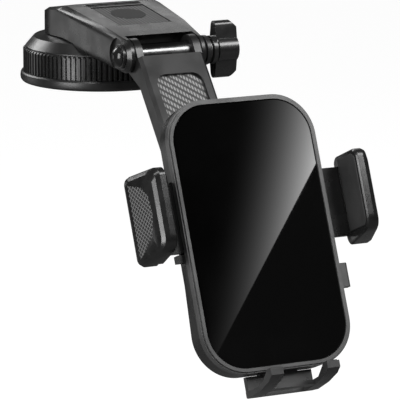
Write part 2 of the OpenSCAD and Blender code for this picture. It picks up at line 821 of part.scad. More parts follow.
module back_cover_screws() {
    color("silver") at_arm() back_screw_places() {
        bar_m(0.7, -4.2, 0.1, coarse);
        difference() {
            bar_m(1.3, 0.02, 0.8, coarse);
            block(-1, 1, 0.5, 1, -0.2, 0.2);
        }
    }
}

// Slide that pulls out of the sleeve, with a set-back head for the ball stud
module inner_slide() {
    hw = slide_half;
    color([0.12, 0.12, 0.12]) at_arm() difference() {
        union() {
            arm_block(-hw, hw, slide_back, slide_front - panel_t, slide_start, step_a + 1);
            intersection() {
                side_plate([[-slide_front + panel_t, -step_a + 1], [-slide_back, -step_a + 1],
                    [-head_back, -step_end], [-head_back, -ball_a - hw], [-head_front, -ball_a - hw],
                    [-head_front, -step_end], [-slide_front + panel_t, -step_a - 1]], -hw, hw);
                union() {
                    arm_block(-hw, hw, -20, 20, step_a - 2, ball_a);
                    translate([0, 0, -ball_a]) bar_m(hw, -20, 20);
                }
            }
        }
        translate([0, 0, -ball_a]) {
            bar_m(ball_screw_r + fit_gap, -20, 20, coarse);
            bar_m(2 * ball_screw_r + 0.1, -head_back - 1.8, 20, coarse);
        }
        for (a = [slide_start + 3, slide_start + 15])
            arm_block(-hw + 3, hw - 3, slide_back - 1, slide_back + 0.6, a, a + 5);
    }
}

// Carbon-look inlay on the slide's front
module slide_panel() {
    color([0.25, 0.25, 0.25]) at_arm()
        arm_block(-slide_half, slide_half, slide_front - panel_t + seat_gap, slide_front, slide_start,
            step_a - 1.2);
}

// Two glide pads that keep the slide tight in its channel
module slide_glides() {
    g = 0.05;
    color("white") at_arm() for (a = [slide_start + 3, slide_start + 15])
        arm_block(-slide_half + 3 + g, slide_half - 3 - g, back_wall + g, slide_back + 0.6 - g, a + g,
            a + 5 - g);
}

// Ball with its neck and round base, standing on the slide's head
module ball_stud() {
    color("silver") at_arm() translate([0, 0, -ball_a]) difference() {
        union() {
            translate([0, -ball_b, 0]) sphere(r = ball_r, $fn = fine);
            bar_m(neck_r, -ball_b, -head_front - seat_gap);
            bar_m(stud_base_r, -head_front - seat_gap - stud_base_t, -head_front - seat_gap);
        }
        bar_m(ball_screw_r + fit_gap, -head_front - 9, 20, coarse);
    }
}

module ball_screw() {
    color("silver") at_arm() translate([0, 0, -ball_a]) {
        bar_m(ball_screw_r, -head_front - 8, -head_back - 1.9, coarse);
        difference() {
            bar_m(2 * ball_screw_r, -head_back - 1.78, -head_back - 0.3, coarse);
            for (a = [0, 90]) rotate([0, a, 0])
                block(-1.8, 1.8, -head_back - 0.9, 20, -0.3, 0.3);
        }
    }
}

// ---- Ball joint ----
// Spherical shells round the ball: the seat turns on the ball, the grip ring turns on the seat.

module ball_place() { at_cradle() translate([0, ball_m, 0]) children(); }

module shell_ring(r_in, r_out, back) {
    rotate([-90, 0, 0]) rotate_extrude($fn = fine) difference() {
        circle(r = r_out, $fn = fine);
        circle(r = r_in, $fn = fine);
        translate([-2 * r_out, -2 * r_out]) square([2 * r_out, 4 * r_out]);
        translate([-1, back]) square(2 * r_out);
    }
}

module ball_seat() {
    color([0.85, 0.85, 0.82]) ball_place() shell_ring(seat_in, seat_out, seat_open);
}

module grip_ring() {
    color([0.2, 0.2, 0.2]) ball_place() shell_ring(grip_in, grip_out, grip_open);
}

// Nut round the socket's collet: ribbed outside, lip over the grip ring
module collar_nut() {
    n = 28;
    front = -ball_m + cradle_t + 0.6;
    color([0.1, 0.1, 0.1]) ball_place() difference() {
        union() {
            bar_m(nut_r - 0.6, front, lip_back, fine);
            translate([0, lip_back - 1, 0]) rotate([90, 0, 0]) linear_extrude(lip_back - 2 - front)
                polygon([for (i = [0:n - 1], q = [[-0.25, 0.9], [-0.15, 0], [0.25, 0], [0.35, 0.9]])
                    (nut_r - q[1]) * [cos((i + q[0]) * 360 / n), sin((i + q[0]) * 360 / n)]]);
        }
        bar_m(collet_r + fit_gap, front - 1, collet_back + free_gap, fine);
        sphere(r = socket_r, $fn = fine);
        bar_m(lip_r, 0, lip_back + 1, fine);
    }
}

// ---- Cradle ----

module housing_screw_places() {
    for (x = [-1, 1], z = [-1, 1]) translate([x * (half_w - 8.5), 0, z * (half_h - 12)]) children();
}

// Rim and middle plate that carry the front panel
module front_frame() {
    r = cradle_corner;
    color([0.16, 0.16, 0.16]) at_cradle() difference() {
        union() {
            round_plate(half_w - 0.7, half_h - 0.7, r - 0.7, -0.5, 1);
            round_plate(half_w, half_h, r, 0.2, frame_depth);
        }
        round_plate(glass_half_w + 0.15, glass_half_h + 0.15, glass_corner + 0.15, -2, panel_t1 + seat_gap);
        round_plate(glass_half_w - 2, glass_half_h - 2, glass_corner - 2, panel_t1 + 1.2, frame_depth + 1);
        housing_screw_places() bar_m(1 + fit_gap, panel_t1 + 0.4, 5, coarse);
    }
    color([0.16, 0.16, 0.16]) at_cradle() difference() {
        housing_screw_places() bar_m(2.6, panel_t1 + 1, floor_m - 1, coarse);
        housing_screw_places() bar_m(1 + fit_gap, panel_t1 + 0.4, floor_m, coarse);
    }
}

// Glossy front panel
module front_panel() {
    color([0.02, 0.02, 0.02]) at_cradle()
        round_plate(glass_half_w, glass_half_h, glass_corner, 0, panel_t1);
}

// Rear tub with the jaw slots, the foot's guide and the ball's socket
module rear_housing() {
    r = cradle_corner;
    b = edge_bevel;
    slot0 = arm_low - slot_s_gap;
    slot1 = arm_high + slot_s_gap;
    color([0.12, 0.12, 0.12]) at_cradle() difference() {
        union() {
            difference() {
                union() {
                    round_plate(half_w, half_h, r, housing_front, cradle_t - b);
                    round_plate(half_w - 0.6 * b, half_h - 0.6 * b, r - 0.6 * b, cradle_t - b - 0.1,
                        cradle_t - b / 2);
                    round_plate(half_w - b, half_h - b, r - b, cradle_t - b - 0.1, cradle_t);
                    hull() {
                        for (x = [-1, 1]) translate([x * (half_w - r), 0, r - half_h]) {
                            bar_m(r, housing_front, low_t - b);
                            bar_m(r - b, low_t - b, low_t);
                        }
                        block(-half_w, half_w, housing_front, cradle_t - b, -low_start, 1 - low_start);
                        block(b - half_w, half_w - b, housing_front, cradle_t, -low_start, 1 - low_start);
                    }
                }
                round_plate(half_w - shell_t, half_h - shell_t, r - shell_t, housing_front - 1,
                    cradle_t - b - 0.2);
                round_plate(half_w - b - shell_t, half_h - b - shell_t, r - b - shell_t,
                    housing_front - 1, floor_m);
            }
            bar_m(collet_r + 1.4, floor_m, cradle_t + 0.3);
            bar_m(collet_r, floor_m, ball_m + collet_back);
            // Post for the gear
            translate([0, 0, gear_s]) bar_m(gear_pin_r + 1.3, rack_back + 0.6, floor_m + 0.5, coarse);
            // Dark lug under the left jaw's slot
            block(-half_w - lug_out, -half_w + 1, rack_front - 0.3, rack_back + 0.8, lug_low,
                arm_low - 0.8);
            // Guides of the pawl
            block(-pawl_half - 2, pawl_half + 2, button_back - 0.5, floor_m + 0.5, tail_low + 8,
                arm_low - 1.5);
            for (x = [-1, 1]) block(x * (pawl_half + 1.1) - 0.8, x * (pawl_half + 1.1) + 0.8,
                button_front + 0.3, floor_m, tail_low + 8, arm_low - 1.5);
            // Guides each side of the foot
            for (x = [-1, 1]) block(x * (foot_tongue + 1.35) - 1, x * (foot_tongue + 1.35) + 1,
                foot_back - foot_plate_t - 0.2, floor_m + 0.5, 4 - half_h, -foot_in + 5);
        }
        translate([0, ball_m, 0]) sphere(r = socket_r, $fn = fine);
        // Slits of the collet
        for (a = [45, 135]) rotate([0, a, 0])
            block(-nut_r, nut_r, ball_m - 2, ball_m + 2 * collet_back, -0.6, 0.6);
        // Jaw slots
        for (x = [-1, 1]) block(x * half_w - 4, x * half_w + 4, housing_front - 1, rack_back + 0.4,
            slot0, slot1);
        // Slot for the foot and its plate
        block(-foot_plate_half - 0.4, foot_plate_half + 0.4, foot_back - foot_plate_t - 0.3, foot_back + 0.3,
            -half_h - 1, shell_t + b - half_h);
        // Slot for the release button
        block(half_w - 5, half_w + 1, button_front - 0.3, button_back + 0.3, button_low - 0.3,
            button_high + 0.3);
        translate([0, 0, gear_s]) bar_m(gear_pin_r + seat_gap, 0, floor_m + 0.3, coarse);
        housing_screw_places() {
            bar_m(1.2, floor_m - 2, cradle_t + 1, coarse);
            bar_m(2.1, cradle_t - 0.9, low_t + 1, coarse);
        }
    }
}

module housing_screws() {
    color("silver") at_cradle() housing_screw_places() {
        bar_m(1, panel_t1 + 2, cradle_t - 0.95, coarse);
        difference() {
            bar_m(1.9, cradle_t - 0.88, cradle_t - 0.15, coarse);
            for (a = [0, 90]) rotate([0, a, 0]) block(-1.2, 1.2, cradle_t - 0.5, cradle_t, -0.22, 0.22);
        }
    }
}

// ---- Gear, racks and jaws ----

// Outline of the gear, one tooth pointing along +X
module gear_outline() {
    n = gear_teeth;
    r = gear_pitch_r;
    step = 360 / n;
    polygon([for (i = [0:n - 1], q = [[-0.36, -gear_ded], [-0.2, 0], [-0.11, gear_add], [0.11, gear_add],
        [0.2, 0], [0.36, -gear_ded]])
        (r + q[1]) * [cos((i + q[0]) * step), sin((i + q[0]) * step)]]);
}

module drive_gear() {
    color("ivory") at_cradle() translate([0, 0, gear_s]) difference() {
        union() {
            translate([0, rack_back - 0.2, 0]) rotate([90, 0, 0]) linear_extrude(rack_t - 0.4)
                rotate([0, 0, 90]) gear_outline();
        }
        bar_m(gear_pin_r + fit_gap, 0, cradle_t, fine);
    }
}

// Pin of the gear, pressed into its post, with a head over the gear
module gear_pin() {
    color("silver") at_cradle() translate([0, 0, gear_s]) {
        bar_m(gear_pin_r, rack_front + 0.1, floor_m + 0.2, fine);
        bar_m(gear_hub_r, rack_front - 0.7, rack_front + 0.1, coarse);
    }
}

// Flat spiral spring round the gear's post that opens the jaws
module return_spring() {
    turns = 3;
    r0 = gear_pin_r + 1.5;
    pitch = 0.9;
    wire = 0.35;
    steps = 20;
    n = turns * steps;
    color("silver") at_cradle() translate([0, floor_m - 0.15, gear_s]) rotate([90, 0, 0])
        linear_extrude(1.1) polygon(concat(
            [for (i = [0:n]) (r0 + pitch * i / steps) * [cos(360 * i / steps), sin(360 * i / steps)]],
            [for (i = [n:-1:0]) (r0 + wire + pitch * i / steps) * [cos(360 * i / steps), sin(360 * i / steps)]]));
}

// Rack teeth along X on the line Z = 0, pointing down, in mesh with a gear tooth space at X = 0
module rack_outline(x0, x1, back) {
    p = PI * gear_module;
    n0 = ceil(x0 / p);
    n1 = floor(x1 / p);
    polygon(concat([[x0, back], [x0, gear_ded]],
        [for (i = [n0:n1 - 1], q = [[0.14, gear_ded], [0.3, 0], [0.39, -gear_add], [0.61, -gear_add],
            [0.7, 0], [0.86, gear_ded]]) [(i + q[0]) * p, q[1]]],
        [[x1, gear_ded], [x1, back]]));
}

// Points of an outline with its corners cut by arcs: each corner is [y, z, radius, first angle, last angle]
function rounded(corners) = [for (c = corners, i = [0:8])
    [c[0] + c[2] * cos(c[3] + (c[4] - c[3]) * i / 8), c[1] + c[2] * sin(c[3] + (c[4] - c[3]) * i / 8)]];

// Side outline of a jaw in depth and height, drawn in by an inset
module jaw_side(inset, x0, x1) {
    f = -jaw_front + inset;
    k = jaw_back - inset;
    lo = jaw_low + inset;
    hi = jaw_high - inset;
    // The lower end slopes up to a large round at the front
    r0 = 7 - inset;
    r1 = 3;
    z0 = lo + r1 + (r0 - r1 + (k - r1 - f - r0) * sin(jaw_slope)) / cos(jaw_slope);
    side_plate(rounded([[f + 4, hi - 4, 4, 180, 90], [k - 3, hi - 3, 3, 90, 0],
        [k - r1, lo + r1, r1, 0, -90 - jaw_slope], [f + r0, z0, r0, -90 - jaw_slope, -180]]), x0, x1);
}

// Slants a child so that its outer side follows the jaw's flare towards the back
module jaw_slant() {
    k = 0.6 * jaw_flare / (jaw_front + jaw_back - 4.1);
    multmatrix([[1, k, 0, k * (jaw_front - 1.6)], [0, 1, 0, 0], [0, 0, 1, 0], [0, 0, 0, 1]]) children();
}

// The right jaw's upright: rim in front, outer face flaring towards the back
module jaw_upright() {
    x0 = pad_x + 0.4;
    difference() {
        hull() {
            jaw_side(0.7, x0, x0 + 0.1);
            jaw_side(0, x0 + 0.7, x0 + 0.8);
            jaw_slant() for (q = [[0, 2.6], [0.8, 0.8], [2.4, 0]])
                jaw_side(q[0], x0 + jaw_rim - q[1] - 0.1, x0 + jaw_rim - q[1]);
        }
        pad_shape(0);
        grip_place() grip_shape(seat_gap, grip_d + 1);
    }
}

// Outline of the pad let into the inner face
module pad_shape(gap) {
    x0 = pad_x;
    intersection() {
        jaw_side(1.7 + gap, x0, x0 + pad_t + 0.4 - gap);
        block(x0 - 1, x0 + 5, -jaw_front, rack_front - 0.7 - gap, jaw_low + 5.4 + gap, jaw_high);
    }
}

// Frame of the grip on the flaring outer face: X out of the face
module grip_place() {
    x0 = pad_x + 0.4 + jaw_rim;
    translate([x0, -jaw_front + 1.6, 0])
        rotate([0, 0, -atan(0.6 * jaw_flare / (jaw_front + jaw_back - 4.1))]) children();
}

// Grip's outline: depth along the face and height
module grip_shape(grow, depth) {
    l = jaw_front + jaw_back - 4.1;
    h = jaw_high - jaw_low;
    z = jaw_low;
    side_plate([[l - 0.8 + grow, z + h * 0.9 + grow], [l - 9, z + h * 0.83 + grow],
        [l - 13 - grow, z + h * 0.72], [l - 14 - grow, z + h * 0.5], [l - 11.5 - grow, z + h * 0.28],
        [l - 4, z + h * 0.12 - grow], [l - 0.8 + grow, z + h * 0.08 - grow]], -grip_d - grow,
        depth - grip_d);
}

// The right jaw's arm: full plate outside, rack strip above the gear inside
module rack_arm() {
    rise = gear_s + gear_pitch_r;
    block(rack_full_x, pad_x + 3, rack_front, rack_back, arm_low, arm_high);
    translate([0, rack_back, rise]) rotate([90, 0, 0]) linear_extrude(rack_t)
        rack_outline(rack_in_end, rack_full_x + 1, arm_high - rise);
    // Rib under the plate, outside the housing
    block(half_w + jaw_travel + 1, pad_x + 3, rack_back - 0.5, jaw_back, arm_low + 3, arm_high - 3);
}

module right_jaw() {
    color([0.12, 0.12, 0.12]) at_cradle() union() {
        jaw_upright();
        rack_arm();
    }
}

module left_jaw() {
    lug_room = lug_out + free_gap + 0.2;
    color([0.12, 0.12, 0.12]) at_cradle() difference() {
        union() {
            mirror([1, 0, 0]) jaw_upright();
            translate([0, 0, gear_s]) rotate([0, 180, 0]) translate([0, 0, -gear_s]) rack_arm();
        }
        block(-half_w - jaw_travel - lug_room, -half_w - jaw_travel, rack_front - 0.7, rack_back + 1.2,
            lug_low - 0.4, arm_low - 0.01);
    }
}

module right_pad() { color([0.22, 0.22, 0.22]) at_cradle() pad_shape(seat_gap); }

module left_pad() { color([0.22, 0.22, 0.22]) at_cradle() mirror([1, 0, 0]) pad_shape(seat_gap); }

module right_grip() { color([0.2, 0.2, 0.2]) at_cradle() grip_place() grip_shape(0, grip_d); }

module left_grip() {
    color([0.2, 0.2, 0.2]) at_cradle() mirror([1, 0, 0]) grip_place() grip_shape(0, grip_d);
}

// ---- Release button and latch ----

module release_button() {
    x1 = half_w - shell_t - 0.2;
    mid = (button_low + button_high) / 2;
    color([0.12, 0.12, 0.12]) at_cradle() difference() {
        union() {
            block(x1 - 1, half_w + button_out, button_front, button_back, button_low, button_high);
            block(x1 - 1.6, x1, button_front, button_back, button_low - 1.4, button_high + 1.4);
            block(tail_end, x1, button_front + 0.2, button_back - 0.8, mid - tail_h / 2, mid + tail_h / 2);
        }
        // Bevelled front edge and the ramp at the tail's end
        translate([half_w + button_out, button_front, 0]) rotate([0, 0, 45])
            block(-0.8, 0.8, -0.8, 0.8, button_low - 1, button_high + 1);
        translate([0, button_back, 0]) rotate([90, 0, 0]) linear_extrude(button_back - button_front)
            polygon([[tail_end - 1, tail_low - 1], [tail_end + ramp_len, tail_low],
                [tail_end - 1, tail_low + ramp_k * (ramp_len + 1)]]);
    }
}

// Pawl that rests under the left rack and drops when the button is pressed
module latch_pawl() {
    top = arm_low - free_gap;
    low = tail_low - 4;
    y1 = button_back - 0.8;
    color("ivory") at_cradle() translate([0, y1, 0]) rotate([90, 0, 0])
        linear_extrude(y1 - button_front - 0.2) union() {
            polygon([[-pawl_half, low], [tail_end + ramp_len + 2.5, low],
                [tail_end + ramp_len + 2.5, tail_low - 0.4 - 2.5 * ramp_k],
                [pawl_half, tail_low - 0.4 + ramp_k * (tail_end + ramp_len - pawl_half)],
                [pawl_half, top - 1], [-pawl_half, top - 1]]);
            polygon([[-1.2, top - 1.1], [1.2, top - 1.1], [0.2, top], [-0.2, top]]);
        }
}

// ---- Foot ----

// Foot: plate in the cradle's lower end and two prongs that reach forward with turned-up tips
module foot_bracket() {
    k = foot_back;
    t = foot_plate_t;
    f = -foot_front;
    p = foot_prong_back;
    color([0.12, 0.12, 0.12]) at_cradle() difference() {
        union() {
            block(-foot_tongue, foot_tongue, k - t, k, -half_h - 2, -foot_in);
            block(-foot_plate_half, foot_plate_half, k - t, k, -foot_s, -half_h - 0.6);
            side_plate([[k, -foot_s], [k - t, -foot_s + 1.6], [k - t - 0.8, -foot_s + 1],
                [k - t - 0.8, -foot_s - 1.6], [k - 1, -foot_s - 1.6]], -foot_plate_half, foot_plate_half);
            for (x = [-foot_half, prong_in])
                side_plate([[p, -foot_s - 1.5], [4, -foot_s - 1.7], [-6.7, -foot_s - 0.3], [f + 3.5, -foot_tip_s - 5],
                    [f, -foot_tip_s - 2.9], [f, -foot_tip_s], [f + 3.6, -foot_tip_s],
                    [f + 4.4, -foot_tip_s - 0.8], [-9, -foot_s + 2.2], [2, -foot_s + 1.2], [p, -foot_s + 1.2]],
                    x, x + foot_half - prong_in);
            side_plate([[-2, -foot_s - 0.8], [-2, -foot_s + 0.9], [-6, -foot_s + 1.5], [-6, -foot_s - 0.3]],
                -prong_in - 1, prong_in + 1);
        }
        for (x = [-1, 1]) block(x * (foot_tongue - 2.6) - 0.6, x * (foot_tongue - 2.6) + 0.6, k - t - 1,
            k + 1, -half_h + 6, -foot_in - 5);
        for (x = [-1, 1]) translate([x * (foot_half + prong_in) / 2, 0, 0])
            block(-foot_pad_half, foot_pad_half, f + 0.5, f + 3.3, -foot_tip_s - foot_pad_t, -foot_tip_s + 1);
    }
}

// Soft pads let into the tips
module foot_pads() {
    f = -foot_front;
    g = seat_gap;
    color([0.25, 0.25, 0.25]) at_cradle() for (x = [-1, 1])
        translate([x * (foot_half + prong_in) / 2, 0, 0]) block(-foot_pad_half + g, foot_pad_half - g,
            f + 0.5 + g, f + 3.3 - g, -foot_tip_s - foot_pad_t + g, -foot_tip_s + 0.4);
}

// Spring clip that holds the foot where it is put
module foot_detent() {
    k = foot_back - foot_plate_t;
    color("silver") at_cradle() side_plate([[housing_front + 0.05, -half_h + 7],
        [housing_front + 0.45, -half_h + 7], [k - 0.5, -half_h + 11.2], [k - 0.15, -half_h + 12],
        [k - 0.5, -half_h + 12.8], [housing_front + 0.45, -half_h + 17], [housing_front + 0.05, -half_h + 17],
        [k - 0.9, -half_h + 12]], -3, 3);
}

suction_cup();
cup_core();
knurled_ring();
base_dome();
base_screws();
keeper_washer();
keeper_screws();
pull_stud();
lock_lever();
lever_pin();
upper_arm();
top_panel();
arm_undercover();
undercover_screws();
hinge_bolt();
bolt_washer();
knob_washer();
spring_washer();
wing_knob();
knob_insert();
lower_arm();
friction_washers();
hinge_sleeve();
arm_back_cover();
back_cover_screws();
inner_slide();
slide_panel();
slide_glides();
ball_stud();
ball_screw();
ball_seat();
grip_ring();
rear_housing();
collar_nut();
front_frame();
front_panel();
housing_screws();
drive_gear();
gear_pin();
return_spring();
left_jaw();
right_jaw();
left_pad();
right_pad();
left_grip();
right_grip();
release_button();
latch_pawl();
foot_bracket();
foot_pads();
foot_detent();
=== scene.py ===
import json
import math

import bmesh
import bpy
from mathutils import Matrix, Vector


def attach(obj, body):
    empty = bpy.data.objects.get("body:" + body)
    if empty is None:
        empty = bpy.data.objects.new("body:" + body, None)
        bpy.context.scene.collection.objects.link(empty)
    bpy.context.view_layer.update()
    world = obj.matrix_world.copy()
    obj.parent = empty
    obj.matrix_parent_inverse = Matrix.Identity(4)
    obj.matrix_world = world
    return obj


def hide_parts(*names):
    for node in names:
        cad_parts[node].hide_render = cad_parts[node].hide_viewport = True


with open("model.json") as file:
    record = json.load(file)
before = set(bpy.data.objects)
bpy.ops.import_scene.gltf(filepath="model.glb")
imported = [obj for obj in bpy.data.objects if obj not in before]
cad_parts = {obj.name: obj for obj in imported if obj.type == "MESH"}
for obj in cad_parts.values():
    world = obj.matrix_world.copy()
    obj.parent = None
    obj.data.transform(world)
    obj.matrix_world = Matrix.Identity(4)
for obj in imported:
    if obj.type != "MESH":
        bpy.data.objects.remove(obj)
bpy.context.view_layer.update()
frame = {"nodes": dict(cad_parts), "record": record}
print("frame loaded:", len(frame["nodes"]), "nodes")

mm = 0.001
scene = bpy.context.scene


# ---- nodes ----

def newGroup(name, inputs, outputs):
    tree = bpy.data.node_groups.new(name, "ShaderNodeTree")
    for label, kind, value in inputs:
        socket = tree.interface.new_socket(name=label, in_out="INPUT", socket_type=kind)
        if value is not None:
            socket.default_value = value
    for label, kind in outputs:
        tree.interface.new_socket(name=label, in_out="OUTPUT", socket_type=kind)
    start = tree.nodes.new("NodeGroupInput")
    end = tree.nodes.new("NodeGroupOutput")
    start.location = (-900, 0)
    end.location = (700, 0)
    return tree, start, end


def addNode(tree, kind, place=(0, 0), **settings):
    node = tree.nodes.new(kind)
    node.location = place
    for key, value in settings.items():
        setattr(node, key, value)
    return node


def feed(tree, source, target):
    if isinstance(source, (int, float, tuple)):
        target.default_value = source
    else:
        tree.links.new(source, target)


def calc(tree, operation, a, b=0.0, place=(0, 0), clamp=False):
    node = addNode(tree, "ShaderNodeMath", place, operation=operation, use_clamp=clamp)
    feed(tree, a, node.inputs[0])
    if operation not in ("ABSOLUTE", "FRACT", "SINE", "FLOOR", "SQRT"):
        feed(tree, b, node.inputs[1])
    return node.outputs[0]


def smoothStep(tree, value, low, high, place=(0, 0)):
    node = addNode(tree, "ShaderNodeMapRange", place, interpolation_type="SMOOTHSTEP")
    feed(tree, value, node.inputs["Value"])
    feed(tree, low, node.inputs["From Min"])
    feed(tree, high, node.inputs["From Max"])
    return node.outputs["Result"]


# fine moulded grain: a height for the bump and a slow mottling for colour and roughness
def grainGroup():
    tree, start, end = newGroup(
        "moulded grain",
        [("Vector", "NodeSocketVector", None), ("Grain Size", "NodeSocketFloat", 0.25),
         ("Mottle Size", "NodeSocketFloat", 12.0)],
        [("Height", "NodeSocketFloat"), ("Mottle", "NodeSocketFloat")])
    scale = calc(tree, "DIVIDE", 1000.0, start.outputs["Grain Size"], (-700, 150))
    fine = addNode(tree, "ShaderNodeTexNoise", (-450, 150), noise_dimensions="3D")
    fine.inputs["Detail"].default_value = 2
    tree.links.new(start.outputs["Vector"], fine.inputs["Vector"])
    tree.links.new(scale, fine.inputs["Scale"])
    wide = calc(tree, "DIVIDE", 1000.0, start.outputs["Mottle Size"], (-700, -150))
    slow = addNode(tree, "ShaderNodeTexNoise", (-450, -150), noise_dimensions="3D")
    slow.inputs["Detail"].default_value = 4
    slow.inputs["Roughness"].default_value = 0.6
    tree.links.new(start.outputs["Vector"], slow.inputs["Vector"])
    tree.links.new(wide, slow.inputs["Scale"])
    tree.links.new(fine.outputs["Fac"], end.inputs["Height"])
    tree.links.new(smoothStep(tree, slow.outputs["Fac"], 0.3, 0.7, (-200, -150)), end.inputs["Mottle"])
    return tree


# sparse hairline scuffs and dust specks
def scuffGroup():
    tree, start, end = newGroup(
        "hairline scuffs",
        [("Vector", "NodeSocketVector", None), ("Length", "NodeSocketFloat", 9.0),
         ("Amount", "NodeSocketFloat", 0.5)],
        [("Scuff", "NodeSocketFloat"), ("Dust", "NodeSocketFloat")])
    turn = addNode(tree, "ShaderNodeMapping", (-650, 100))
    turn.inputs["Rotation"].default_value = (0.5, 0.3, 0.7)
    turn.inputs["Scale"].default_value = (1.0, 24.0, 24.0)
    tree.links.new(start.outputs["Vector"], turn.inputs["Vector"])
    scale = calc(tree, "DIVIDE", 1000.0, start.outputs["Length"], (-650, -150))
    lines = addNode(tree, "ShaderNodeTexNoise", (-400, 100), noise_dimensions="3D")
    lines.inputs["Detail"].default_value = 3
    tree.links.new(turn.outputs["Vector"], lines.inputs["Vector"])
    tree.links.new(scale, lines.inputs["Scale"])
    low = calc(tree, "SUBTRACT", 0.78, calc(tree, "MULTIPLY", start.outputs["Amount"], 0.16), (-200, -50))
    tree.links.new(smoothStep(tree, lines.outputs["Fac"], low, 0.82, (0, 100)), end.inputs["Scuff"])
    specks = addNode(tree, "ShaderNodeTexVoronoi", (-400, -250))
    specks.inputs["Scale"].default_value = 700
    tree.links.new(start.outputs["Vector"], specks.inputs["Vector"])
    spot = calc(tree, "SUBTRACT", 1.0, smoothStep(tree, specks.outputs["Distance"], 0.02, 0.12, (-200, -250)))
    tree.links.new(calc(tree, "MULTIPLY", spot, start.outputs["Amount"], (200, -250)), end.inputs["Dust"])
    return tree


# diagonal twill: broad slanting ribs, each cut into short crossing dashes
def twillGroup():
    tree, start, end = newGroup(
        "diagonal twill",
        [("Vector", "NodeSocketVector", None), ("Pitch", "NodeSocketFloat", 1.75),
         ("Dash", "NodeSocketFloat", 0.6)],
        [("Rib", "NodeSocketFloat"), ("Thread", "NodeSocketFloat")])
    parts = addNode(tree, "ShaderNodeSeparateXYZ", (-700, 0))
    tree.links.new(start.outputs["Vector"], parts.inputs["Vector"])
    u = calc(tree, "MULTIPLY", parts.outputs["X"], 1000.0, (-550, 120))
    v = calc(tree, "MULTIPLY", parts.outputs["Y"], 1000.0, (-550, -120))
    phase = calc(tree, "DIVIDE", calc(tree, "ADD", u, v), start.outputs["Pitch"], (-250, 120))
    wave = calc(tree, "PINGPONG", phase, 0.5, (-100, 120))
    rib = smoothStep(tree, wave, 0.16, 0.3, (50, 120))
    dash = calc(tree, "PINGPONG", calc(tree, "DIVIDE", u, start.outputs["Dash"], (-250, -120)), 0.5)
    thread = smoothStep(tree, dash, 0.08, 0.3, (50, -120))
    tree.links.new(rib, end.inputs["Rib"])
    tree.links.new(calc(tree, "MULTIPLY", rib, thread, (250, -60)), end.inputs["Thread"])
    return tree


# plain weave of small square stitches
def weaveGroup():
    tree, start, end = newGroup(
        "small weave",
        [("Vector", "NodeSocketVector", None), ("Pitch", "NodeSocketFloat", 1.1),
         ("Lean", "NodeSocketFloat", 0.785)],
        [("Height", "NodeSocketFloat"), ("Over", "NodeSocketFloat")])
    turned = addNode(tree, "ShaderNodeVectorRotate", (-750, 0), rotation_type="Z_AXIS")
    tree.links.new(start.outputs["Vector"], turned.inputs["Vector"])
    tree.links.new(start.outputs["Lean"], turned.inputs["Angle"])
    parts = addNode(tree, "ShaderNodeSeparateXYZ", (-600, 0))
    tree.links.new(turned.outputs["Vector"], parts.inputs["Vector"])
    waves = []
    for axis, y in (("X", 120), ("Y", -120)):
        step = calc(tree, "DIVIDE", calc(tree, "MULTIPLY", parts.outputs[axis], 1000.0),
                    start.outputs["Pitch"], (-400, y))
        waves.append((step, smoothStep(tree, calc(tree, "PINGPONG", step, 0.5, (-250, y)), 0.06, 0.34)))
    checker = calc(tree, "MODULO", calc(tree, "ADD", calc(tree, "FLOOR", waves[0][0]),
                                        calc(tree, "FLOOR", waves[1][0])), 2.0, (-100, -250))
    over = smoothStep(tree, calc(tree, "ABSOLUTE", checker), 0.4, 0.6, (50, -250))
    height = calc(tree, "MULTIPLY", waves[0][1], waves[1][1], (0, 60))
    tree.links.new(height, end.inputs["Height"])
    tree.links.new(over, end.inputs["Over"])
    return tree


# raised diamond mesh
def diamondGroup():
    tree, start, end = newGroup(
        "diamond mesh",
        [("Vector", "NodeSocketVector", None), ("Pitch", "NodeSocketFloat", 1.7),
         ("Line", "NodeSocketFloat", 0.16)],
        [("Net", "NodeSocketFloat")])
    parts = addNode(tree, "ShaderNodeSeparateXYZ", (-700, 0))
    tree.links.new(start.outputs["Vector"], parts.inputs["Vector"])
    u = calc(tree, "MULTIPLY", parts.outputs["X"], 1000.0)
    v = calc(tree, "MULTIPLY", parts.outputs["Y"], 1000.0)
    nets = []
    for operation, y in (("ADD", 120), ("SUBTRACT", -120)):
        phase = calc(tree, "DIVIDE", calc(tree, operation, u, v), start.outputs["Pitch"], (-350, y))
        nets.append(calc(tree, "PINGPONG", phase, 0.5, (-200, y)))
    near = calc(tree, "MINIMUM", nets[0], nets[1], (-50, 0))
    net = calc(tree, "SUBTRACT", 1.0, smoothStep(tree, near, 0.04, start.outputs["Line"], (100, 0)))
    tree.links.new(net, end.inputs["Net"])
    return tree


groups = {"grain": grainGroup(), "scuffs": scuffGroup(), "twill": twillGroup(), "weave": weaveGroup(),
          "diamond": diamondGroup()}
print("shader groups built:", len(groups))


# ---- materials ----

def useGroup(tree, name, place, vector, **values):
    node = addNode(tree, "ShaderNodeGroup", place, node_tree=groups[name])
    tree.links.new(vector, node.inputs["Vector"])
    for key, value in values.items():
        node.inputs[key].default_value = value
    return node


def mixColour(tree, factor, a, b, place):
    node = addNode(tree, "ShaderNodeMix", place, data_type="RGBA")
    feed(tree, factor, node.inputs["Factor"])
    for value, socket in ((a, node.inputs[6]), (b, node.inputs[7])):
        if isinstance(value, tuple):
            socket.default_value = value
        else:
            tree.links.new(value, socket)
    return node.outputs[2]


def grey(value, tint=(1.0, 1.0, 1.0)):
    return (value * tint[0], value * tint[1], value * tint[2], 1.0)


def startMaterial(name):
    material = bpy.data.materials.new(name)
    material.use_nodes = True
    tree = material.node_tree
    shader = tree.nodes["Principled BSDF"]
    shader.location = (500, 0)
    tree.nodes["Material Output"].location = (800, 0)
    coords = addNode(tree, "ShaderNodeTexCoord", (-1100, 0))
    return material, tree, shader, coords.outputs["Object"]


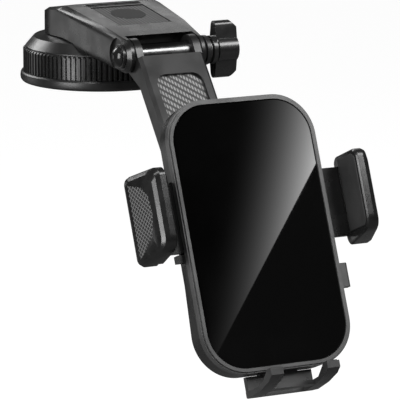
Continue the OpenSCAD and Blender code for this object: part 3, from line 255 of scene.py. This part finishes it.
def addBump(tree, shader, height, strength, distance):
    bump = addNode(tree, "ShaderNodeBump", (250, -400))
    bump.inputs["Strength"].default_value = strength
    bump.inputs["Distance"].default_value = distance * mm
    tree.links.new(height, bump.inputs["Height"])
    tree.links.new(bump.outputs["Normal"], shader.inputs["Normal"])


# how much wear every moulded finish shows
wearLook = {"scuffs": 0.4, "scuffShow": 0.35, "scuffRough": 0.1, "dustShow": 0.10, "dustColour": 0.35,
            "patchyGloss": 0.12, "coatRough": 0.15}


# moulded plastic, rubber or painted metal with grain, mottling and scuffs
def mouldedMaterial(name, colour, rough, grain=0.22, bump=0.25, mottle=0.12, metallic=0.0, coat=0.0):
    material, tree, shader, where = startMaterial(name)
    grains = useGroup(tree, "grain", (-800, 0), where, **{"Grain Size": grain})
    scuffs = useGroup(tree, "scuffs", (-800, -300), where, Amount=wearLook["scuffs"])
    body = mixColour(tree, grains.outputs["Mottle"], grey(colour * (1 - mottle)), grey(colour * (1 + mottle)),
                     (-400, 200))
    marked = mixColour(tree, calc(tree, "MULTIPLY", scuffs.outputs["Scuff"], wearLook["scuffShow"]), body,
                       grey(colour * 1.9 + 0.01), (-150, 200))
    dusty = mixColour(tree, calc(tree, "MULTIPLY", scuffs.outputs["Dust"], wearLook["dustShow"]), marked,
                      grey(wearLook["dustColour"]), (100, 200))
    tree.links.new(dusty, shader.inputs["Base Color"])
    change = calc(tree, "MULTIPLY", calc(tree, "SUBTRACT", grains.outputs["Mottle"], 0.5),
                  wearLook["patchyGloss"])
    total = calc(tree, "ADD", calc(tree, "ADD", change, rough),
                 calc(tree, "MULTIPLY", scuffs.outputs["Scuff"], wearLook["scuffRough"]),
                 (250, -100), clamp=True)
    tree.links.new(total, shader.inputs["Roughness"])
    shader.inputs["Metallic"].default_value = metallic
    shader.inputs["Coat Weight"].default_value = coat
    shader.inputs["Coat Roughness"].default_value = wearLook["coatRough"]
    addBump(tree, shader, grains.outputs["Height"], bump, 0.02)
    return material


# brushed or turned metal: fine lines along one direction
def metalMaterial(name, colour, rough, tint=(1.0, 1.0, 1.0)):
    material, tree, shader, where = startMaterial(name)
    stretch = addNode(tree, "ShaderNodeMapping", (-850, 0))
    stretch.inputs["Scale"].default_value = (3.0, 80.0, 80.0)
    tree.links.new(where, stretch.inputs["Vector"])
    lines = addNode(tree, "ShaderNodeTexNoise", (-600, 0))
    lines.inputs["Scale"].default_value = 60
    lines.inputs["Detail"].default_value = 4
    tree.links.new(stretch.outputs["Vector"], lines.inputs["Vector"])
    scuffs = useGroup(tree, "scuffs", (-600, -300), where, Amount=0.6)
    body = mixColour(tree, lines.outputs["Fac"], grey(colour * 0.8, tint), grey(colour * 1.1, tint), (0, 200))
    tree.links.new(body, shader.inputs["Base Color"])
    spread = calc(tree, "MULTIPLY", lines.outputs["Fac"], 0.18)
    tree.links.new(calc(tree, "ADD", spread, rough, (200, -100)), shader.inputs["Roughness"])
    shader.inputs["Metallic"].default_value = 1.0
    both = calc(tree, "ADD", lines.outputs["Fac"], calc(tree, "MULTIPLY", scuffs.outputs["Scuff"], 0.5))
    addBump(tree, shader, both, 0.15, 0.01)
    return material


# polished front panel: near black under a clear coat, with faint wipe marks
def panelMaterial():
    material, tree, shader, where = startMaterial("front panel gloss")
    scuffs = useGroup(tree, "scuffs", (-700, -200), where, Amount=0.25, Length=14.0)
    wipes = addNode(tree, "ShaderNodeTexNoise", (-700, 150))
    wipes.inputs["Scale"].default_value = 22
    wipes.inputs["Detail"].default_value = 5
    tree.links.new(where, wipes.inputs["Vector"])
    film = smoothStep(tree, wipes.outputs["Fac"], 0.45, 0.75, (-450, 150))
    body = mixColour(tree, film, grey(0.0035), grey(0.0055), (-100, 200))
    speck = mixColour(tree, calc(tree, "MULTIPLY", scuffs.outputs["Dust"], 0.03), body, grey(0.2), (150, 200))
    tree.links.new(speck, shader.inputs["Base Color"])
    rough = calc(tree, "ADD", calc(tree, "MULTIPLY", film, 0.008), 0.012, (200, -100))
    tree.links.new(rough, shader.inputs["Roughness"])
    shader.inputs["IOR"].default_value = 1.52
    return material


# twill strip on the slide, under a thin coat; the pattern is turned into the strip's plane
def twillMaterial(settings):
    material, tree, shader, where = startMaterial("twill strip")
    turn = addNode(tree, "ShaderNodeMapping", (-1000, 200))
    turn.inputs["Rotation"].default_value = settings["turn"]
    turn.inputs["Scale"].default_value = settings["stretch"]
    tree.links.new(where, turn.inputs["Vector"])
    twill = useGroup(tree, "twill", (-750, 200), turn.outputs["Vector"], Pitch=settings["pitch"],
                     Dash=settings["dash"])
    grains = useGroup(tree, "grain", (-750, -100), where, **{"Grain Size": 0.2})
    ground = mixColour(tree, grains.outputs["Mottle"], grey(0.012), grey(0.018), (-350, 0))
    ribs = mixColour(tree, twill.outputs["Rib"], ground, grey(settings["rib"]), (-150, 100))
    threads = mixColour(tree, twill.outputs["Thread"], ribs, grey(settings["thread"]), (50, 150))
    tree.links.new(threads, shader.inputs["Base Color"])
    tree.links.new(calc(tree, "SUBTRACT", 0.5, calc(tree, "MULTIPLY", twill.outputs["Thread"], 0.12)),
                   shader.inputs["Roughness"])
    addBump(tree, shader, twill.outputs["Thread"], 0.5, 0.08)
    return material


# woven panel on top with the plain round field in its middle
def topPanelMaterial(settings):
    material, tree, shader, where = startMaterial("top weave")
    weave = useGroup(tree, "weave", (-750, 200), where, Pitch=settings["pitch"], Lean=settings["lean"])
    grains = useGroup(tree, "grain", (-750, -100), where, **{"Grain Size": 0.2})
    ground = mixColour(tree, grains.outputs["Mottle"], grey(0.010), grey(0.016), (-350, 0))
    stitch = mixColour(tree, weave.outputs["Over"], grey(settings["low"]), grey(settings["high"]),
                       (-350, 250))
    cloth = mixColour(tree, weave.outputs["Height"], ground, stitch, (-100, 150))
    shift = addNode(tree, "ShaderNodeMapping", (-900, -400))
    shift.inputs["Location"].default_value = settings["badgeShift"]
    shift.inputs["Scale"].default_value = settings["badgeScale"]
    tree.links.new(where, shift.inputs["Vector"])
    flat = addNode(tree, "ShaderNodeVectorMath", (-700, -400), operation="MULTIPLY")
    flat.inputs[1].default_value = (1, 1, 0)
    tree.links.new(shift.outputs["Vector"], flat.inputs[0])
    far = addNode(tree, "ShaderNodeVectorMath", (-500, -400), operation="LENGTH")
    tree.links.new(flat.outputs["Vector"], far.inputs[0])
    outside = smoothStep(tree, far.outputs["Value"], 0.96, 1.03, (-300, -400))
    colour = mixColour(tree, outside, grey(0.012), cloth, (150, 150))
    tree.links.new(colour, shader.inputs["Base Color"])
    tree.links.new(calc(tree, "ADD", calc(tree, "MULTIPLY", outside, -0.08), 0.6), shader.inputs["Roughness"])
    addBump(tree, shader, calc(tree, "MULTIPLY", weave.outputs["Height"], outside), 0.5, 0.08)
    return material


# diamond mesh rubber on the jaws
def gripMaterial(name, settings):
    material, tree, shader, where = startMaterial(name)
    turn = addNode(tree, "ShaderNodeMapping", (-1000, 200))
    turn.inputs["Rotation"].default_value = settings["turn"]
    turn.inputs["Scale"].default_value = settings["stretch"]
    tree.links.new(where, turn.inputs["Vector"])
    net = useGroup(tree, "diamond", (-750, 200), turn.outputs["Vector"], Pitch=settings["pitch"],
                   Line=settings["line"])
    grains = useGroup(tree, "grain", (-750, -100), where, **{"Grain Size": 0.3})
    ground = mixColour(tree, grains.outputs["Mottle"], grey(settings["low"] * 0.85), grey(settings["low"]),
                       (-350, 0))
    colour = mixColour(tree, net.outputs["Net"], ground, grey(settings["high"]), (0, 150))
    tree.links.new(colour, shader.inputs["Base Color"])
    tree.links.new(calc(tree, "SUBTRACT", 0.6, calc(tree, "MULTIPLY", net.outputs["Net"], 0.15)),
                   shader.inputs["Roughness"])
    addBump(tree, shader, net.outputs["Net"], 0.6, 0.12)
    return material


twillLook = {"turn": (-0.8727, 0, 0), "stretch": (0.81, 1, 1), "pitch": 3.4, "dash": 1.0, "rib": 0.02,
             "thread": 0.24}
weaveLook = {"pitch": 1.25, "lean": 0.785, "low": 0.02, "high": 0.22, "badgeShift": (0, 3.5, 0),
             "badgeScale": (125, 125, 1)}
gripLook = {"turn": (0.3997, 1.5708, 0), "stretch": (1, 1, 1), "pitch": 2.1, "line": 0.17, "low": 0.003,
            "high": 0.15}

finishes = {
    "cupRubber": mouldedMaterial("cup rubber", 0.012, 0.38, grain=0.3),
    "corePlastic": mouldedMaterial("core plastic", 0.04, 0.5),
    "ringPlastic": mouldedMaterial("ring plastic", 0.010, 0.3, grain=0.15),
    "domePlastic": mouldedMaterial("dome plastic", 0.012, 0.34, grain=0.15),
    "armPlastic": mouldedMaterial("arm plastic", 0.012, 0.3),
    "leverPlastic": mouldedMaterial("lever plastic", 0.012, 0.36),
    "coverPlastic": mouldedMaterial("cover plastic", 0.012, 0.5),
    "sleevePlastic": mouldedMaterial("sleeve plastic", 0.009, 0.36),
    "slidePlastic": mouldedMaterial("slide plastic", 0.013, 0.42),
    "housingPlastic": mouldedMaterial("housing plastic", 0.011, 0.3),
    "framePlastic": mouldedMaterial("frame plastic", 0.05, 0.34),
    "jawPlastic": mouldedMaterial("jaw plastic", 0.010, 0.25),
    "footPlastic": mouldedMaterial("foot plastic", 0.03, 0.32),
    "nutPlastic": mouldedMaterial("nut plastic", 0.013, 0.4),
    "knobPlastic": mouldedMaterial("knob plastic", 0.012, 0.26, coat=0.35),
    "buttonPlastic": mouldedMaterial("button plastic", 0.03, 0.34, coat=0.2),
    "padRubber": mouldedMaterial("pad rubber", 0.02, 0.6, grain=0.35, bump=0.4),
    "ringRubber": mouldedMaterial("ring rubber", 0.03, 0.6),
    "boltBlack": mouldedMaterial("black bolt", 0.03, 0.22, metallic=0.6),
    "washerBlack": mouldedMaterial("black washer", 0.03, 0.3, metallic=0.5),
    "spacerBlack": mouldedMaterial("black spacer", 0.14, 0.25, metallic=1.0),
    "nylon": mouldedMaterial("natural nylon", 0.55, 0.4, mottle=0.05),
    "acetal": mouldedMaterial("natural acetal", 0.5, 0.35, mottle=0.05),
    "screwSteel": metalMaterial("screw steel", 0.45, 0.25),
    "studSteel": metalMaterial("stud steel", 0.55, 0.22),
    "springSteel": metalMaterial("spring steel", 0.4, 0.25),
    "brass": metalMaterial("insert brass", 0.6, 0.25, tint=(1.0, 0.75, 0.38)),
    "panelGloss": panelMaterial(),
    "twill": twillMaterial(twillLook),
    "topWeave": topPanelMaterial(weaveLook),
    "leftMesh": gripMaterial("left grip mesh", gripLook),
    "rightMesh": gripMaterial("right grip mesh", gripLook),
}
print("materials built:", len(finishes))


# ---- pieces ----

# node: finish, width of the rounded edges in mm
dressing = {
    "suction_cup": ("cupRubber", 0.3), "cup_core": ("corePlastic", 0.1), "knurled_ring": ("ringPlastic", 0.12),
    "base_dome": ("domePlastic", 0.35), "base_screws": ("screwSteel", 0), "keeper_washer": ("screwSteel", 0),
    "keeper_screws": ("screwSteel", 0), "pull_stud": ("studSteel", 0), "lock_lever": ("leverPlastic", 0.3),
    "lever_pin": ("studSteel", 0), "upper_arm": ("armPlastic", 0.35), "top_panel": ("topWeave", 0.12),
    "arm_undercover": ("coverPlastic", 0.2), "undercover_screws": ("screwSteel", 0),
    "hinge_bolt": ("boltBlack", 0.3), "bolt_washer": ("washerBlack", 0.2), "knob_washer": ("washerBlack", 0.3),
    "spring_washer": ("screwSteel", 0.1), "wing_knob": ("knobPlastic", 0.5), "knob_insert": ("brass", 0.1),
    "lower_arm": ("sleevePlastic", 0.3), "friction_washers": ("nylon", 0.05),
    "hinge_sleeve": ("spacerBlack", 0.1), "arm_back_cover": ("coverPlastic", 0.15),
    "back_cover_screws": ("screwSteel", 0), "inner_slide": ("slidePlastic", 0.35), "slide_panel": ("twill", 0.1),
    "slide_glides": ("nylon", 0.05), "ball_stud": ("studSteel", 0.15), "ball_screw": ("screwSteel", 0),
    "ball_seat": ("nylon", 0.1), "grip_ring": ("ringRubber", 0.1), "rear_housing": ("housingPlastic", 0.3),
    "collar_nut": ("nutPlastic", 0.2), "front_frame": ("framePlastic", 0.35), "front_panel": ("panelGloss", 0.3),
    "housing_screws": ("screwSteel", 0), "drive_gear": ("acetal", 0.05), "gear_pin": ("studSteel", 0),
    "return_spring": ("springSteel", 0), "left_jaw": ("jawPlastic", 0.15), "right_jaw": ("jawPlastic", 0.15),
    "left_pad": ("padRubber", 0.3), "right_pad": ("padRubber", 0.3), "left_grip": ("leftMesh", 0.25),
    "right_grip": ("rightMesh", 0.25), "release_button": ("buttonPlastic", 0.3),
    "latch_pawl": ("acetal", 0.1), "foot_bracket": ("footPlastic", 0.25), "foot_pads": ("padRubber", 0.2),
    "foot_detent": ("springSteel", 0),
}
bodyOf = {node: body for body, nodes in frame["record"]["behaviour"]["bodies"].items() for node in nodes}


# angles in degrees; distances in m
edgeLook = {"merge": 2e-6, "flat": 1.0, "smoothUnder": 20, "roundedFrom": 32, "segments": 2}


# a copy of a node's mesh, merged and with its flat faces joined, so that its edges can be rounded
def copyOfNode(node):
    mesh = bpy.data.meshes.new(node + "Looks")
    work = bmesh.new()
    work.from_mesh(frame["nodes"][node].data)
    bmesh.ops.remove_doubles(work, verts=work.verts, dist=edgeLook["merge"])
    bmesh.ops.dissolve_degenerate(work, edges=work.edges, dist=edgeLook["merge"] / 2)
    bmesh.ops.dissolve_limit(work, angle_limit=math.radians(edgeLook["flat"]), verts=work.verts,
                             edges=work.edges)
    for face in work.faces:
        face.smooth = True
    for edge in work.edges:
        soft = edge.calc_face_angle(0.0) < math.radians(edgeLook["smoothUnder"])
        edge.smooth = len(edge.link_faces) == 2 and soft
    work.to_mesh(mesh)
    work.free()
    piece = bpy.data.objects.new(node + "Looks", mesh)
    scene.collection.objects.link(piece)
    return piece


def roundEdges(piece, width):
    bevel = piece.modifiers.new("rounded edges", "BEVEL")
    bevel.width = width * mm
    bevel.segments = edgeLook["segments"]
    bevel.limit_method = "ANGLE"
    bevel.angle_limit = math.radians(edgeLook["roundedFrom"])
    bevel.use_clamp_overlap = True
    bevel.harden_normals = True
    bevel.miter_outer = "MITER_ARC"


def finishPiece(piece, node, finish):
    piece.data.materials.append(finishes[finish])
    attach(piece, bodyOf[node])
    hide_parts(node)


for node, (finish, width) in dressing.items():
    if width > 0:
        piece = copyOfNode(node)
        roundEdges(piece, width)
        finishPiece(piece, node, finish)
    else:
        cad = frame["nodes"][node]
        cad.data.materials.clear()
        cad.data.materials.append(finishes[finish])
print("pieces dressed:", len(dressing))


# ---- stage, light and camera ----

stageLook = {"floorZ": -0.32, "floorSize": 14.0, "floorGlow": 0.96, "floorColour": 0.15, "world": 0.04}


def buildStage():
    material = bpy.data.materials.new("pale floor")
    material.use_nodes = True
    tree = material.node_tree
    tree.nodes.clear()
    out = addNode(tree, "ShaderNodeOutputMaterial", (500, 0))
    matt = addNode(tree, "ShaderNodeBsdfDiffuse", (0, 0))
    matt.inputs["Color"].default_value = grey(stageLook["floorColour"])
    glow = addNode(tree, "ShaderNodeEmission", (0, -200))
    path = addNode(tree, "ShaderNodeLightPath", (-500, -200))
    seen = calc(tree, "MAXIMUM", path.outputs["Is Camera Ray"], path.outputs["Is Transmission Ray"],
                (-300, -200))
    tree.links.new(calc(tree, "MULTIPLY", seen, stageLook["floorGlow"]), glow.inputs["Strength"])
    both = addNode(tree, "ShaderNodeAddShader", (250, 0))
    tree.links.new(matt.outputs[0], both.inputs[0])
    tree.links.new(glow.outputs[0], both.inputs[1])
    tree.links.new(both.outputs[0], out.inputs["Surface"])
    mesh = bpy.data.meshes.new("floor")
    work = bmesh.new()
    bmesh.ops.create_grid(work, x_segments=1, y_segments=1, size=stageLook["floorSize"] / 2)
    bmesh.ops.translate(work, verts=work.verts, vec=(0, 0, stageLook["floorZ"]))
    work.to_mesh(mesh)
    work.free()
    mesh.materials.append(material)
    floor = bpy.data.objects.new("floor", mesh)
    scene.collection.objects.link(floor)

    world = bpy.data.worlds.new("studio")
    scene.world = world
    world.use_nodes = True
    tree = world.node_tree
    tree.nodes.clear()
    out = addNode(tree, "ShaderNodeOutputWorld", (500, 0))
    backdrop = addNode(tree, "ShaderNodeBackground", (200, 0))
    path = addNode(tree, "ShaderNodeLightPath", (-300, 0))
    unseen = calc(tree, "SUBTRACT", 1.0, path.outputs["Is Camera Ray"])
    plain = calc(tree, "MULTIPLY", unseen, stageLook["world"])
    tree.links.new(calc(tree, "ADD", plain, path.outputs["Is Camera Ray"]), backdrop.inputs["Strength"])
    tree.links.new(backdrop.outputs[0], out.inputs["Surface"])


def addLamp(name, look, target):
    turn, lift = math.radians(look["azimuth"]), math.radians(look["elevation"])
    away = Vector((math.cos(turn) * math.cos(lift), math.sin(turn) * math.cos(lift), math.sin(lift)))
    light = bpy.data.lights.new(name, "AREA")
    light.shape = "RECTANGLE"
    light.size, light.size_y = look["size"]
    light.energy = look["power"]
    lamp = bpy.data.objects.new(name, light)
    lamp.location = Vector(target) + away * look["far"]
    lamp.rotation_euler = away.to_track_quat("Z", "Y").to_euler()
    lamp.visible_camera = False
    scene.collection.objects.link(lamp)
    return lamp


# azimuth and elevation in degrees as seen from the mount, distance in m
lampLook = {
    "topLamp": {"azimuth": -120, "elevation": 66, "far": 1.3, "size": (0.6, 0.4), "power": 10},
    "frontLamp": {"azimuth": -50, "elevation": 40, "far": 1.2, "size": (0.7, 0.5), "power": 12},
    "sideLamp": {"azimuth": -164, "elevation": 10, "far": 1.3, "size": (0.5, 0.95), "power": 15},
    "edgeLamp": {"azimuth": 112, "elevation": 26, "far": 1.3, "size": (0.4, 0.5), "power": 5},
    "flankLamp": {"azimuth": 126, "elevation": -6, "far": 1.3, "size": (0.4, 0.35), "power": 0.6},
    "rearLamp": {"azimuth": 61, "elevation": 25, "far": 1.4, "size": (0.5, 0.4), "power": 0.8},
}

# card seen only in the front panel: bright at one end of a slanting edge and fading along "fade"
cardLook = {"place": (0.2184, -0.5360, 0.2012), "facing": (0.437, -0.757, 0.487),
            "edge": ((-0.090, 0.0508), (0.080, -0.0977)), "top": 0.13, "fade": (-1501.0, -907.0, 41.7),
            "reach": 95.0, "power": 4.0, "strength": 7.2}


def addCard():
    material = bpy.data.materials.new("reflection card")
    material.use_nodes = True
    tree = material.node_tree
    tree.nodes.clear()
    out = addNode(tree, "ShaderNodeOutputMaterial", (500, 0))
    glow = addNode(tree, "ShaderNodeEmission", (300, 0))
    coords = addNode(tree, "ShaderNodeTexCoord", (-900, 0))
    parts = addNode(tree, "ShaderNodeSeparateXYZ", (-700, 0))
    tree.links.new(coords.outputs["Object"], parts.inputs["Vector"])
    across, along, start = cardLook["fade"]
    reach = calc(tree, "ADD", calc(tree, "MULTIPLY", parts.outputs["X"], across),
                 calc(tree, "ADD", calc(tree, "MULTIPLY", parts.outputs["Y"], along), start), (-300, 0))
    share = calc(tree, "MAXIMUM", calc(tree, "DIVIDE", reach, cardLook["reach"]), 0.0, (-100, 0))
    curve = calc(tree, "POWER", share, cardLook["power"])
    tree.links.new(calc(tree, "MULTIPLY", curve, cardLook["strength"]), glow.inputs["Strength"])
    tree.links.new(glow.outputs[0], out.inputs["Surface"])
    work = bmesh.new()
    (x0, y0), (x1, y1) = cardLook["edge"]
    work.faces.new([work.verts.new((x, y, 0)) for x, y in
                    ((x0, y0), (x1, y1), (x1, cardLook["top"]), (x0, cardLook["top"]))])
    mesh = bpy.data.meshes.new("card")
    work.to_mesh(mesh)
    work.free()
    mesh.materials.append(material)
    card = bpy.data.objects.new("card", mesh)
    facing = Vector(cardLook["facing"]).normalized()
    across = facing.cross(Vector((0, 0, 1))).normalized()
    along = across.cross(facing)
    turned = Matrix((across, along, facing)).transposed().to_4x4()
    card.matrix_world = Matrix.Translation(cardLook["place"]) @ turned
    card.visible_camera = card.visible_diffuse = card.visible_shadow = card.visible_transmission = False
    scene.collection.objects.link(card)
    return card


# a collection that holds the front panel alone, to be lit by one light only or by all but one
def panelAlone(name, state):
    holder = bpy.data.collections.new(name)
    holder.objects.link(bpy.data.objects["front_panelLooks"])
    holder.collection_objects[0].light_linking.link_state = state
    return holder


middle = (0, -0.1, -0.03)
buildStage()
lamps = {name: addLamp(name, look, middle) for name, look in lampLook.items()}
addCard().light_linking.receiver_collection = panelAlone("front panel only", "INCLUDE")
lamps["frontLamp"].light_linking.receiver_collection = panelAlone("front panel apart", "EXCLUDE")

cameraLook = {"place": (-0.6119, -1.3289, 0.2448), "azimuth": -26.49, "elevation": 11.68, "lens": 288.08,
              "sensor": 36, "near": 0.05, "far": 60}


def addCamera():
    data = bpy.data.cameras.new("camera")
    data.sensor_width = cameraLook["sensor"]
    data.lens = cameraLook["lens"]
    data.clip_start = cameraLook["near"]
    data.clip_end = cameraLook["far"]
    camera = bpy.data.objects.new("camera", data)
    camera.location = cameraLook["place"]
    tilt, turn = math.radians(90 - cameraLook["elevation"]), math.radians(cameraLook["azimuth"])
    camera.rotation_euler = (tilt, 0, turn)
    scene.collection.objects.link(camera)
    scene.camera = camera


addCamera()
scene.view_settings.view_transform = "Standard"
print("stage, lamps and camera placed")
